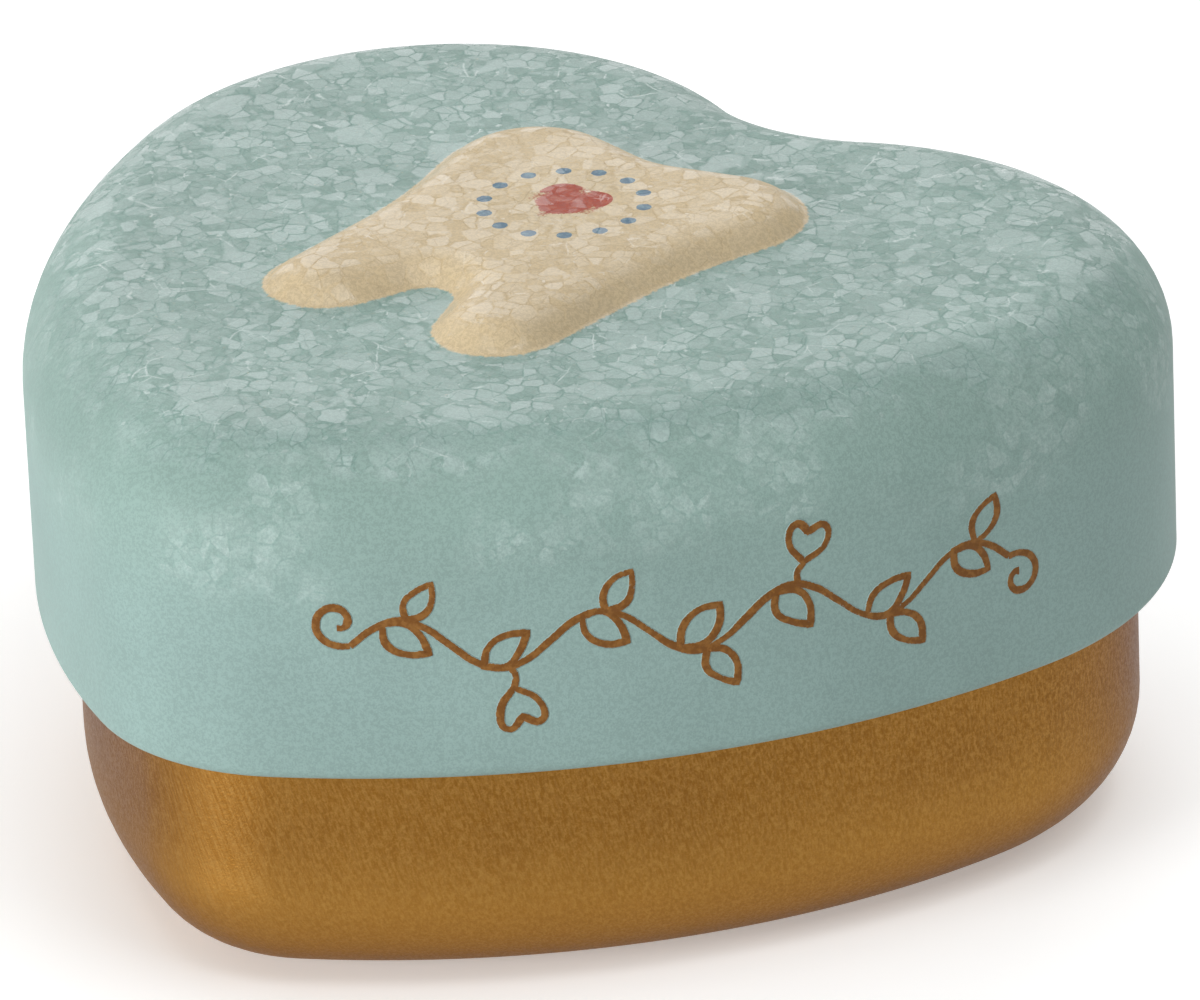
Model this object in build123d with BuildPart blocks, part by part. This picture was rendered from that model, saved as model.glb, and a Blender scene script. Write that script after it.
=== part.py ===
"""A heart-shaped keepsake tin for baby teeth: a drawn base and a deep slip-on lid.

Each half is drawn from one blank of thin sheet. Both have the same heart outline, made of tangent
arcs, and the base's is drawn in so that it slides inside the lid. The raw edge of each sheet is rolled
inwards into a smooth bead. The lid's panel is embossed with a tooth, and the base's floor is pressed
up inside a flat foot that follows the heart.

A wall is described by its section: the points that it runs through, each as how far it lies inside the
lid's outline, and its height. A bend is a row of such points, just close enough together for the narrow
cones between them to stay within a small error of the round, which keeps the faces light to mesh.

The tin's heart lies flat in XY with its tip towards -Y, the lobes towards +Y, and Z up. The origin is
under the middle of the tin, on the surface that it stands on. Lengths are in millimetres.
"""

import os
from math import acos, atan2, ceil, cos, degrees, hypot, radians, sin, sqrt, tan

from build123d import *

# The lid's outline, seen from above
lid_width = 60.0
lobe_radius = 18.0
side_radius = 48.8
tip_radius = 11.2
notch_radius = 9.0
tip_reach = 25.8  # from the line through the lobes' centres to the centre of the tip's arc

# Heights
tin_height = 29.8  # up to the flat of the lid's panel
lid_skirt = 17.0  # from there down to the lower edge of the hem

# The sheet and its bends
sheet = 0.3
shoulder_radius = 5.6  # outside bend between the lid's panel and skirt
floor_radius = 5.6  # outside bend between the base's wall and floor
hem_diameter = 1.4  # bead at the lid's lower edge
rim_diameter = 1.4  # bead at the base's upper edge
curl_angle = 270.0  # how far round each bead the sheet is rolled
bend_error = 0.07  # how far the flats that make up a bend may stray from the round

# Fits between the two halves
slip_clearance = 0.6  # between the lid's hem and the base's wall
seat_gap = 0.2  # between the base's rim and the inside of the lid's shoulder

# The base's floor, pressed up inside the flat foot
foot_width = 1.6  # from the end of the floor's outside bend to the foot of the pressed wall
floor_rise = 0.9
floor_slope = 45.0  # how far the pressed wall leans from upright, in degrees
floor_bend = 0.8  # outside bends at the pressed wall's crest and foot

# The tooth embossed in the lid's panel
tooth_width = 21.0
tooth_length = 24.8
tooth_back = 5.0  # from the line through the lobes' centres to the back of the tooth
tooth_rise = 1.2
tooth_slope = 50.0  # how far the embossed wall leans from upright, in degrees
tooth_crest_bend = 1.8  # outside bend at the top of the embossed wall
tooth_foot_bend = 1.1  # outside bend at its foot, on the panel's underside

# The tooth's outline runs round these circles from the arch between the roots, up the right side,
# to the groove in the crown, joined by straight tangents. Each is its centre's place from the tooth's
# middle, in shares of the width and the length, and its radius in shares of the width. A negative
# radius is a hollow in the outline.
tooth_circle_shares = [
    (0.0, -0.335, -0.072),
    (0.257, -0.367, 0.157),
    (1.72, -0.12, -1.3),
    (0.27, 0.304, 0.23),
    (0.0, 0.64, -0.22),
]

# Places that follow from the sizes above
lobe_offset = lid_width / 2 - lobe_radius
lid_length = lobe_radius + tip_reach + tip_radius
lobe_line = lid_length / 2 - lobe_radius
lid_edge = tin_height - lid_skirt
tooth_middle = lobe_line + tooth_back - tooth_length / 2

# The base is drawn in by the hem and its clearance, and its rim meets the lid's shoulder from below
base_inset = hem_diameter + slip_clearance
rim_radius = rim_diameter / 2
rim_reach = max(shoulder_radius - base_inset - rim_radius, 0)
rim_to_shoulder = shoulder_radius - sheet - seat_gap - rim_radius
base_height = tin_height - shoulder_radius + sqrt(rim_to_shoulder**2 - rim_reach**2) + rim_radius
pressed_inset = base_inset + floor_radius + foot_width

# Centres of the arcs of the outline's right half
lobe_centre = (lobe_offset, lobe_line)
tip_centre = (0, lobe_line - tip_reach)
notch_centre = (0, lobe_line + sqrt((lobe_radius + notch_radius) ** 2 - lobe_offset**2))


def side_arc_centre():
    """The centre of the long side arc, which holds the lobe's arc and the tip's arc inside it."""
    to_lobe = side_radius - lobe_radius
    to_tip = side_radius - tip_radius
    apart = hypot(lobe_offset, tip_reach)
    at_lobe = acos((to_lobe**2 + apart**2 - to_tip**2) / (2 * to_lobe * apart))
    angle = atan2(-tip_reach, -lobe_offset) - at_lobe
    return (lobe_offset + to_lobe * cos(angle), lobe_line + to_lobe * sin(angle))


side_centre = side_arc_centre()


def bearing(start, end):
    """The direction from one point to another, in degrees."""
    return degrees(atan2(end[1] - start[1], end[0] - start[0]))


def heart(inset):
    """The closed outline of the tin, moved inwards from the lid's outer wall by inset."""
    lobe_to_notch = bearing(lobe_centre, notch_centre)
    side_to_lobe = bearing(side_centre, lobe_centre)
    side_to_tip = bearing(side_centre, tip_centre)
    notch_to_lobe = bearing(notch_centre, lobe_centre)
    straight_down = -90
    with BuildLine() as outline:
        CenterArc(notch_centre, notch_radius + inset, straight_down, notch_to_lobe - straight_down)
        CenterArc(lobe_centre, lobe_radius - inset, lobe_to_notch, side_to_lobe - lobe_to_notch)
        CenterArc(side_centre, side_radius - inset, side_to_lobe, side_to_tip - side_to_lobe)
        CenterArc(tip_centre, tip_radius - inset, side_to_tip, straight_down - side_to_tip)
        mirror(about=Plane.YZ)
    return outline.wire()


def tooth(inset):
    """The closed outline of a plain two-rooted tooth, moved inwards from the embossing's foot by inset."""
    right = [
        (x * tooth_width, tooth_middle + y * tooth_length, radius * tooth_width - inset)
        for x, y, radius in tooth_circle_shares
    ]
    left = [(-x, y, radius) for x, y, radius in right[-2:0:-1]]
    circles = right + left
    followers = circles[1:] + circles[:1]
    normals = [tangent_normal(circle, follower) for circle, follower in zip(circles, followers)]
    with BuildLine() as outline:
        for (x, y, radius), before, after in zip(circles, normals[-1:] + normals, normals):
            turn = (after - before + 180) % 360 - 180
            CenterArc((x, y), abs(radius), before + (180 if radius < 0 else 0), turn)
        for circle, follower, normal in zip(circles, followers, normals):
            Line(touch_point(circle, normal), touch_point(follower, normal))
    return outline.wire()


def tangent_normal(circle, follower):
    """The outward normal, in degrees, of the tangent from one circle to the next one anticlockwise."""
    apart = hypot(follower[0] - circle[0], follower[1] - circle[1])
    return bearing(circle, follower) - degrees(acos((circle[2] - follower[2]) / apart))


def touch_point(circle, normal):
    """Where the tangent with that outward normal, in degrees, touches a circle."""
    x, y, radius = circle
    return (x + radius * cos(radians(normal)), y + radius * sin(radians(normal)))


def arc(radius, start, end):
    """Points round an arc about zero, between two angles in degrees, as far apart as the error lets."""
    widest_step = degrees(2 * acos(1 - bend_error / radius))
    count = ceil(abs(end - start) / widest_step)
    angles = [radians(start + (end - start) * i / count) for i in range(count + 1)]
    return [(radius * cos(angle), radius * sin(angle)) for angle in angles]


def bend(inset, height, radius, start, end):
    """The points of a section round a bend. An angle of 0 points out of the tin, and 90 points up."""
    return [(inset - outwards, height + up) for outwards, up in arc(radius, start, end)]


def pressed(inset, level, rise, slope, crest_bend, foot_bend):
    """The section of a pressed field: a bend at its foot, a leaning wall and a bend at its flat crest.

    Wall and flat would meet at inset and level, if they were not rounded.
    """
    turn = 90 - slope
    tangent_length = tan(radians(turn) / 2)
    crest_inset = inset + rise * tan(radians(slope)) + crest_bend * tangent_length
    foot = bend(inset - foot_bend * tangent_length, level + foot_bend, foot_bend, -90, -90 - turn)
    crest = bend(crest_inset, level + rise - crest_bend, crest_bend, 90 - turn, 90)
    return foot + crest


def lean_shift(slope):
    """How far a leaning wall's other face steps aside where the sheet bends out of the flat into it."""
    return sheet * tan(radians(90 - slope) / 2)


def block(outline, wall_section, mode=Mode.ADD):
    """A solid block whose wall follows the section all round an outline, flat at both ends."""
    rings = []
    for inset, height in wall_section:
        with BuildSketch(Plane.XY.offset(height)) as ring:
            make_face(outline(inset))
        rings.append(ring.sketch)
    loft(sections=rings, ruled=True, mode=mode)


def rolled_bead(diameter, inset, edge, up):
    """The rolled edge of a wall: the sheet turns inwards, nearly all the way round, along the heart.

    edge is the height of the bead's extreme, which is its top if up is 1 and its bottom if up is -1.
    """
    radius = diameter / 2
    middle = notch_centre[1] - notch_radius - inset - radius
    around = arc(radius, 0, curl_angle) + arc(radius - sheet, curl_angle, 0)
    points = [(middle + outwards, edge + up * (height - radius)) for outwards, height in around]
    with BuildSketch(Plane.YZ) as curl:
        with BuildLine():
            Polyline(points, close=True)
        make_face()
    sweep(sections=curl.sketch, path=heart(inset))


def make_lid():
    """The deep lid: an embossed panel, a rounded shoulder, a skirt and its rolled hem."""
    skirt_end = lid_edge + hem_diameter / 2
    shoulder_level = tin_height - shoulder_radius
    under_panel = tin_height - sheet
    embossing = (tooth_rise, tooth_slope)
    with BuildPart() as inside:
        shoulder = bend(shoulder_radius, shoulder_level, shoulder_radius - sheet, 0, 90)
        block(heart, [(sheet, skirt_end), *shoulder])
        bends = (tooth_crest_bend - sheet, tooth_foot_bend)
        block(tooth, pressed(lean_shift(tooth_slope), under_panel, *embossing, *bends))
    with BuildPart() as lid:
        shoulder = bend(shoulder_radius, shoulder_level, shoulder_radius, 0, 90)
        block(heart, [(0, skirt_end), *shoulder])
        bends = (tooth_crest_bend, tooth_foot_bend - sheet)
        block(tooth, pressed(0, tin_height, *embossing, *bends))
        add(inside.part, mode=Mode.SUBTRACT)
        rolled_bead(hem_diameter, 0, lid_edge, -1)
    return lid


def make_base():
    """The base: a pressed floor inside a flat foot, a rounded lower edge, a wall and its rolled rim."""
    wall_end = base_height - rim_diameter / 2
    floor_edge = (base_inset + floor_radius, floor_radius)
    pressing = (floor_rise, floor_slope)
    with BuildPart() as inside:
        block(heart, [*bend(*floor_edge, floor_radius - sheet, -90, 0), (base_inset + sheet, wall_end)])
        corner = (pressed_inset - lean_shift(floor_slope), sheet)
        block(heart, pressed(*corner, *pressing, floor_bend, floor_bend - sheet), mode=Mode.SUBTRACT)
    with BuildPart() as base:
        block(heart, [*bend(*floor_edge, floor_radius, -90, 0), (base_inset, wall_end)])
        corner = (pressed_inset, 0)
        block(heart, pressed(*corner, *pressing, floor_bend - sheet, floor_bend), mode=Mode.SUBTRACT)
        add(inside.part, mode=Mode.SUBTRACT)
        rolled_bead(rim_diameter, base_inset, base_height, 1)
    return base


os.makedirs("parts", exist_ok=True)

lid = make_lid()
lid.part.label = "lid"
export_step(lid.part, "parts/lid.step")

base = make_base()
base.part.label = "base"
export_step(base.part, "parts/base.step")
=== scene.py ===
# %% [markdown]
# # A heart-shaped keepsake tin
#
# The tin is two pressings of thin sheet: a gold-lacquered base and a deep mint lid that slips over it.
# The lid's panel carries an embossed tooth, and a drawn vine runs round its front.
#
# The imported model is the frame. It gives the tin's real place and size. Everything here is in metres, but
# the vine is sketched in millimetres, and so are the patterns of the finishes.

# %% Load the frame
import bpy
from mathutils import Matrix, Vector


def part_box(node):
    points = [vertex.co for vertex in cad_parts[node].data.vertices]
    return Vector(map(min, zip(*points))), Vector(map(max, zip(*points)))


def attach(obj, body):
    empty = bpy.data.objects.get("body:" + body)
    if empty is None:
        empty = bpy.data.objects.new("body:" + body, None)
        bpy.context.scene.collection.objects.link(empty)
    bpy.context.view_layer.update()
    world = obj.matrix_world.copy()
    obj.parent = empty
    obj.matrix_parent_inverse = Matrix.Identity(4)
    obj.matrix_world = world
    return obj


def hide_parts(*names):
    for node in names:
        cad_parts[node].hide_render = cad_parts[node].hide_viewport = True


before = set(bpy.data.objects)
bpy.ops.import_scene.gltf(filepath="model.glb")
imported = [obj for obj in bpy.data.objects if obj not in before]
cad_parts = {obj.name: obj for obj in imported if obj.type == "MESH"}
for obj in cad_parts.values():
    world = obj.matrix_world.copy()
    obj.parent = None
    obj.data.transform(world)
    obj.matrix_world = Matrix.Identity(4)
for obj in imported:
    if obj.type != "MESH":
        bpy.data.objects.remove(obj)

# %% The tools of this lesson
from math import acos, atan2, cos, degrees, pi, radians, sin, sqrt, tan
from random import Random

import bmesh
import bpy
from mathutils import Matrix, Vector

# The objects of Blender's own start scene aren't needed
for name in ("Cube", "Light", "Camera"):
    if name in bpy.data.objects:
        bpy.data.objects.remove(bpy.data.objects[name])

mm = 0.001
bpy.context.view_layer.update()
lid_low, lid_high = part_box("lid")
base_low, base_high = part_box("base")
print("lid from", lid_low, "to", lid_high)
print("base from", base_low, "to", base_high)

# %% [markdown]
# ## The heart
#
# Seen from above, the tin's outline is a chain of arcs that run into each other without a corner: a hollow
# arc in the notch, a round lobe, a long flat side and a small round tip, and the same again mirrored. Where
# two arcs meet, both centres lie on one line with the meeting point. That line is square to the wall, so a
# wall's section can be spun about one centre after another and never has to be turned by hand.

# %% The arcs of the right half
lid_width = lid_high[0] - lid_low[0]
lobe_radius = 18.0 * mm
side_radius = 48.8 * mm
tip_radius = 11.2 * mm
notch_radius = 9.0 * mm

lobe_centre = Vector((lid_width / 2 - lobe_radius, lid_high[1] - lobe_radius, 0))
tip_centre = Vector((0, lid_low[1] + tip_radius, 0))
to_notch = sqrt((lobe_radius + notch_radius) ** 2 - lobe_centre.x**2)
notch_centre = Vector((0, lobe_centre.y + to_notch, 0))


def bearing(start, end):
    """The direction from one point to another in the plan, in radians."""
    return atan2(end[1] - start[1], end[0] - start[0])


# The side arc holds both of its neighbours inside it, so its centre makes a triangle with theirs
to_lobe = side_radius - lobe_radius
to_tip = side_radius - tip_radius
apart = (tip_centre - lobe_centre).length
corner = acos((to_lobe**2 + apart**2 - to_tip**2) / (2 * to_lobe * apart))
away = bearing(lobe_centre, tip_centre) - corner
side_centre = lobe_centre + to_lobe * Vector((cos(away), sin(away), 0))

lobe_to_notch = bearing(lobe_centre, notch_centre)
side_to_lobe = bearing(side_centre, lobe_centre)
side_to_tip = bearing(side_centre, tip_centre)
heart_arcs = [
    (notch_centre, notch_radius, pi / 2 + bearing(notch_centre, lobe_centre)),
    (lobe_centre, lobe_radius, side_to_lobe - lobe_to_notch),
    (side_centre, side_radius, side_to_tip - side_to_lobe),
    (tip_centre, tip_radius, -pi / 2 - side_to_tip),
]
for centre, radius, turn in heart_arcs:
    print("arc of", round(radius / mm, 1), "mm turns", round(degrees(turn), 1), "degrees")

# %% [markdown]
# ## Drawing a section
#
# A pressed wall is drawn the way a press tool is: as a line of straight runs and round bends. It starts as
# a single vertex. An extrusion makes a run, and a spin about a level axis makes a bend. The section stands
# in the plane of the notch, where outwards is +Y, so a place on it is an inset from the lid's outer wall
# and a height.

# %% Runs and bends
chord = 0.5 * mm
widest_turn = 6.0


class Section:
    """The line of a pressed wall, drawn in the upright plane x = 0."""

    def __init__(self, wall, facing):
        """wall is where the outline crosses the plane, and facing is 1 if outwards is +Y there, else -1."""
        self.wall = wall
        self.facing = facing
        self.at = None

    def place(self, inset, height):
        """A point of the plane, as how far it lies inside the outline, and its height."""
        return Vector((0, self.wall - self.facing * inset, height))

    def start(self, name, inset, height):
        """A new piece that is one selected vertex, open in edit mode."""
        bpy.ops.object.select_all(action="DESELECT")
        self.at = self.place(inset, height)
        bpy.ops.mesh.primitive_plane_add(size=mm, location=self.at)
        piece = bpy.context.object
        piece.name = name
        bpy.ops.object.transform_apply(location=True, rotation=True, scale=True)
        bpy.ops.object.mode_set(mode="EDIT")
        bpy.ops.mesh.select_all(action="SELECT")
        bpy.ops.mesh.merge(type="CENTER")
        return piece

    def run(self, inset, height):
        """Extrudes the end of the line straight to a point."""
        end = self.place(inset, height)
        bpy.ops.mesh.extrude_region_move(TRANSFORM_OT_translate={"value": end - self.at})
        self.at = end

    def bend(self, inset, height, turn):
        """Spins the end of the line about a point. A turn above zero goes from outwards to upwards."""
        centre = self.place(inset, height)
        angle = radians(turn) * self.facing
        steps = max(3, round(abs(turn) / widest_turn))
        bpy.ops.mesh.spin(steps=steps, angle=-angle, center=centre, axis=(1, 0, 0))
        self.at = centre + Matrix.Rotation(angle, 3, "X") @ (self.at - centre)


print("a bend turns by", widest_turn, "degrees a step")

# %% Spins and selections
def spin_upright(centre, radius, turn):
    """Spins what is selected about an upright axis, in steps no longer than a chord at the radius."""
    steps = max(abs(turn) * radius / chord, degrees(abs(turn)) / widest_turn)
    bpy.ops.mesh.spin(steps=max(2, round(steps)), angle=-turn, center=centre, axis=(0, 0, 1))


def select_only(piece):
    """Leaves one object selected and active."""
    bpy.ops.object.select_all(action="DESELECT")
    piece.select_set(True)
    bpy.context.view_layer.objects.active = piece


def select_where(piece, test):
    """Selects, in edit mode, the vertices whose place passes a test."""
    bpy.ops.mesh.select_mode(type="VERT")
    bpy.ops.mesh.select_all(action="DESELECT")
    mesh = bmesh.from_edit_mesh(piece.data)
    for vertex in mesh.verts:
        vertex.select = test(vertex.co)
    mesh.select_flush(True)
    bmesh.update_edit_mesh(piece.data)


notch_wall = notch_centre.y - notch_radius
heart_section = Section(notch_wall, 1)
print("the heart's section stands at y =", round(notch_wall / mm, 2), "mm, facing back")

# %% [markdown]
# ## The lid's wall
#
# The real lid is drawn from one sheet: a flat panel, a generous round shoulder, an upright skirt, and a raw
# edge that is rolled inwards into a bead so that it doesn't cut. The section starts where the panel ends.
# The bead turns three quarters of a circle. Spun about the four centres in turn, it makes the right half.

# %% The right half of the lid's wall
sheet = 0.3 * mm
shoulder_radius = 5.6 * mm
bead_radius = 0.7 * mm
bead_turn = 270.0
tooth_rise = 1.2 * mm
panel = lid_high[2] - tooth_rise
lid_edge = lid_low[2]


def spin_heart():
    """Spins the section that is in edit mode into half of the heart."""
    bpy.ops.mesh.select_all(action="SELECT")
    for arc in heart_arcs:
        spin_upright(*arc)
    bpy.ops.object.mode_set(mode="OBJECT")


lid = heart_section.start("lid_shell", shoulder_radius, panel)
heart_section.bend(shoulder_radius, panel - shoulder_radius, -90)
heart_section.run(0, lid_edge + bead_radius)
heart_section.bend(bead_radius, lid_edge + bead_radius, -bead_turn)
spin_heart()
print("half of the lid's wall has", len(lid.data.polygons), "faces")

# %% [markdown]
# ## The embossed tooth
#
# The tooth is pressed up from the panel with a short leaning wall, soft at its foot and at its crest. Its
# outline is drawn with round tools, as a draughtsman would: circles for the crown's corners, the roots, the
# arch between them and the hollow waist, with straight tangents between the circles. The embossing's
# section is spun round each circle and extruded along each tangent.

# %% The tooth's circles
tooth_width = 21.0 * mm
tooth_length = 24.8 * mm
tooth_back = 5.0 * mm
tooth_slope = radians(50)
crest_bend = 3.2 * mm
foot_bend = 0.8 * mm
tooth_middle = lobe_centre.y + tooth_back - tooth_length / 2


def tooth_circle(across, along, radius):
    """A circle of the outline, from shares of the tooth's width and length. A hollow's radius is below 0."""
    centre = Vector((across * tooth_width, tooth_middle + along * tooth_length, 0))
    return (centre, radius * tooth_width)


tooth_circles = [
    tooth_circle(0.0, -0.335, -0.072),  # the arch between the roots
    tooth_circle(0.257, -0.367, 0.157),  # the root's end
    tooth_circle(1.72, -0.12, -1.3),  # the waist
    tooth_circle(0.27, 0.304, 0.23),  # the crown's corner
    tooth_circle(0.0, 0.64, -0.22),  # the groove in the crown
]


def tangent_normal(circle, follower):
    """Which way the straight tangent from one circle to the next one faces."""
    (centre, radius), (next_centre, next_radius) = circle, follower
    distance = (next_centre - centre).length
    return bearing(centre, next_centre) - acos((radius - next_radius) / distance)


def touch_point(circle, normal):
    """Where a tangent that faces that way touches a circle."""
    centre, radius = circle
    return centre + radius * Vector((cos(normal), sin(normal), 0))


print("the tooth's outline has", len(tooth_circles), "circles a side")

# %% The right half of the embossing
turn = pi / 2 - tooth_slope
tangent_length = tan(turn / 2)
arch_wall = touch_point(tooth_circles[0], -pi / 2).y
tooth_section = Section(arch_wall, -1)

foot_inset = -foot_bend * tangent_length
crest_inset = tooth_rise * tan(tooth_slope) + crest_bend * tangent_length
crest = panel + tooth_rise
wall_top_inset = crest_inset - crest_bend * cos(pi / 2 - turn)
wall_top = crest - crest_bend + crest_bend * sin(pi / 2 - turn)

tooth = tooth_section.start("tooth", foot_inset, panel)
tooth_section.bend(foot_inset, panel + foot_bend, -degrees(turn))
tooth_section.run(wall_top_inset, wall_top)
tooth_section.bend(crest_inset, crest - crest_bend, degrees(turn))

bpy.ops.mesh.select_all(action="SELECT")
normal = -pi / 2
for circle, follower in zip(tooth_circles, tooth_circles[1:]):
    next_normal = tangent_normal(circle, follower)
    spin_upright(circle[0], abs(circle[1]), (next_normal - normal + pi) % (2 * pi) - pi)
    along = touch_point(follower, next_normal) - touch_point(circle, next_normal)
    pieces = max(1, round(along.length / (2 * chord)))
    for _ in range(pieces):
        bpy.ops.mesh.extrude_region_move(TRANSFORM_OT_translate={"value": along / pieces})
    normal = next_normal
last_centre, last_radius = tooth_circles[-1]
spin_upright(last_centre, abs(last_radius), (pi / 2 - normal + pi) % (2 * pi) - pi)
bpy.ops.object.mode_set(mode="OBJECT")
print("half of the embossing has", len(tooth.data.polygons), "faces")

# %% [markdown]
# ## One sheet
#
# The two halves are joined into one mesh and mirrored, and the flats are filled: the panel between the tooth
# and the shoulder, and the tooth's crest. The sheet then gets its thickness inwards. The inside is bare
# tinplate, so the new inner faces take the second material. Its slot has to be there before, though it is
# still empty, because a modifier doesn't give faces a slot that their piece hasn't got.

# %% From half a wall to a whole skin
flat_error = 0.002 * mm
weld = 0.005 * mm
seam_weld = 0.01 * mm


def mirror_whole(piece):
    """Mirrors a right half to the left and merges the seam."""
    select_only(piece)
    mirror = piece.modifiers.new("Mirror", "MIRROR")
    mirror.use_axis[0] = True
    mirror.merge_threshold = seam_weld
    bpy.ops.object.modifier_apply(modifier=mirror.name)


def fill_flat(piece, height):
    """Fills the loops of edges that lie at a height."""
    select_where(piece, lambda place: abs(place.z - height) < flat_error)
    bpy.ops.mesh.fill(use_beauty=True)


def close_sheet(piece):
    """Merges the doubles and turns the faces outwards, and leaves edit mode."""
    bpy.ops.mesh.select_all(action="SELECT")
    bpy.ops.mesh.remove_doubles(threshold=weld)
    bpy.ops.mesh.normals_make_consistent(inside=False)
    bpy.ops.object.mode_set(mode="OBJECT")
    widest = max(piece.data.polygons, key=lambda face: face.center.x)
    if widest.normal.x < 0:
        bpy.ops.object.mode_set(mode="EDIT")
        bpy.ops.mesh.flip_normals()
        bpy.ops.object.mode_set(mode="OBJECT")


print("points closer than", round(weld / mm, 3), "mm are merged")

# %% From a skin to a sheet with a thickness
smooth_up_to = radians(35)


def thicken(piece):
    """Gives the sheet its thickness inwards, and smooths it up to the sharp raw edges."""
    select_only(piece)
    for _ in ("outside", "inside"):
        piece.data.materials.append(None)
    solidify = piece.modifiers.new("Thickness", "SOLIDIFY")
    solidify.thickness = sheet
    solidify.offset = -1
    solidify.use_even_offset = True
    solidify.material_offset = 1
    bpy.ops.object.modifier_apply(modifier=solidify.name)
    bpy.ops.object.shade_smooth_by_angle(angle=smooth_up_to)
    inner = sum(face.material_index == 1 for face in piece.data.polygons)
    print(piece.name, "has", len(piece.data.polygons), "faces,", inner, "of them on the inside")


print("the sheet is", round(sheet / mm, 2), "mm thick")

# %% The lid's sheet
select_only(lid)
tooth.select_set(True)
bpy.ops.object.join()
mirror_whole(lid)
bpy.ops.object.mode_set(mode="EDIT")
fill_flat(lid, panel)
fill_flat(lid, crest)
close_sheet(lid)
print("the lid's sheet has", len(lid.data.polygons), "faces")

# %% [markdown]
# ## The base
#
# The base is drawn in by the lid's bead and a sliding gap, so the lid slips over it. Its floor is pressed up
# a little inside a flat foot, which keeps the tin from rocking, and its rim is rolled inwards.

# %% The base's sizes
slip_clearance = 0.6 * mm
floor_radius = 5.6 * mm
foot_width = 1.6 * mm
floor_rise = 0.9 * mm
floor_slope = radians(45)
floor_foot_bend = 0.8 * mm
floor_crest_bend = floor_foot_bend - sheet
base_inset = 2 * bead_radius + slip_clearance
wall_end = base_high[2] - bead_radius
pressed_inset = base_inset + floor_radius + foot_width

floor_turn = pi / 2 - floor_slope
floor_tangent = tan(floor_turn / 2)
floor_crest_inset = pressed_inset + floor_rise * tan(floor_slope) + floor_crest_bend * floor_tangent
floor_foot_inset = pressed_inset - floor_foot_bend * floor_tangent
slope_end_inset = floor_foot_inset + floor_foot_bend * sin(floor_turn)
slope_end = floor_foot_bend * (1 - cos(floor_turn))
print("the base's wall lies", round(base_inset / mm, 2), "mm inside the lid's")

# %% The base's sheet
base = heart_section.start("base_shell", floor_crest_inset, floor_rise)
heart_section.bend(floor_crest_inset, floor_rise - floor_crest_bend, -degrees(floor_turn))
heart_section.run(slope_end_inset, slope_end)
heart_section.bend(floor_foot_inset, floor_foot_bend, degrees(floor_turn))
heart_section.run(base_inset + floor_radius, 0)
heart_section.bend(base_inset + floor_radius, floor_radius, 90)
heart_section.run(base_inset, wall_end)
heart_section.bend(base_inset + bead_radius, wall_end, bead_turn)
spin_heart()
mirror_whole(base)
bpy.ops.object.mode_set(mode="EDIT")
fill_flat(base, floor_rise)
close_sheet(base)
print("the base's sheet has", len(base.data.polygons), "faces")

# %% The thickness of both sheets
thicken(lid)
thicken(base)

# %% [markdown]
# ## The drawn vine
#
# A vine is printed round the right side of the skirt in one brown gold line, like a pen's: a waving stem
# with open leaves in its hollows, small hearts on stalks, and a curl at each end. It is drawn flat with
# Bezier curves, as one would sketch it on paper, with distances round the skirt across the page and heights
# up it. Each knot's radius is the pen's pressure there. Slips of the hand are drawn by lot, from a fixed
# seed, so that the same vine comes out each time.

# %% The pen
pen_radius = 0.23
pressure_slip = 0.15
place_slip = 0.03
lean_slip = 7
size_slip = 0.08
hand = Random(11)

bpy.ops.object.select_all(action="DESELECT")
bpy.ops.curve.primitive_bezier_curve_add(radius=mm, location=(0, 0, 0))
vine = bpy.context.object
vine.name = "printed_vine"
vine.data.splines.clear()
vine.data.bevel_depth = pen_radius * mm
vine.data.bevel_resolution = 2
vine.data.resolution_u = 8
vine.data.use_fill_caps = True


def stroke(points, corners=(), closed=False):
    """A pen stroke through points in millimetres. corners are the numbers of the points that it turns at."""
    spline = vine.data.splines.new("BEZIER")
    spline.bezier_points.add(len(points) - 1)
    spline.use_cyclic_u = closed
    for number, (knot, point) in enumerate(zip(spline.bezier_points, points)):
        handle = "VECTOR" if number in corners else "AUTO"
        knot.handle_left_type = handle
        knot.handle_right_type = handle
        knot.co = Vector((point[0], 0, point[1])) * mm
        knot.radius = hand.uniform(1 - pressure_slip, 1 + pressure_slip)


def turned_shape(root, lean, size, shape):
    """The points of a small shape, given as shares of its size along and across its own lean in degrees."""
    along = Vector((cos(radians(lean)), sin(radians(lean))))
    across = Vector((-along.y, along.x))
    slip = place_slip * size
    points = []
    for forth, aside in shape:
        point = Vector(root) + size * (forth * along + aside * across)
        points.append(point + Vector((hand.uniform(-slip, slip), hand.uniform(-slip, slip))))
    return points


print("the pen draws a line", 2 * pen_radius, "mm wide")

# %% The sizes of the stem, its leaves, hearts and curls
vine_start = (-16.0, 20.2)
vine_end = (18.0, 19.7)
quarters = 14
wave_height = 1.35
hollow_shift = -0.35
hollow_leaf_lean = 42
hollow_leaf_size = 2.7
crest_shift = 0.15
crest_leaf_lean = 52
crest_leaf_size = 2.5
heart_lean = 78
stalk_size = 2.2
curl_radius = 1.25
curl_tightening = 0.12
curl_aside = 0.6
leaf_shape = [(0, 0), (0.3, 0.25), (0.68, 0.22), (1, 0), (0.68, -0.22), (0.3, -0.25)]
heart_shape = [(0, 0), (0.5, 0.47), (0.93, 0.36), (0.76, 0), (0.93, -0.36), (0.5, -0.47)]
print("the stem makes", quarters / 4, "waves")

# %% How each part is drawn
def stem_place(quarter):
    """A place on the stem, counted in quarters of a wave from its start."""
    share = quarter / quarters
    middle = Vector(vine_start).lerp(Vector(vine_end), share)
    return middle + Vector((0, wave_height * sin(quarter * pi / 2)))


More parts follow.
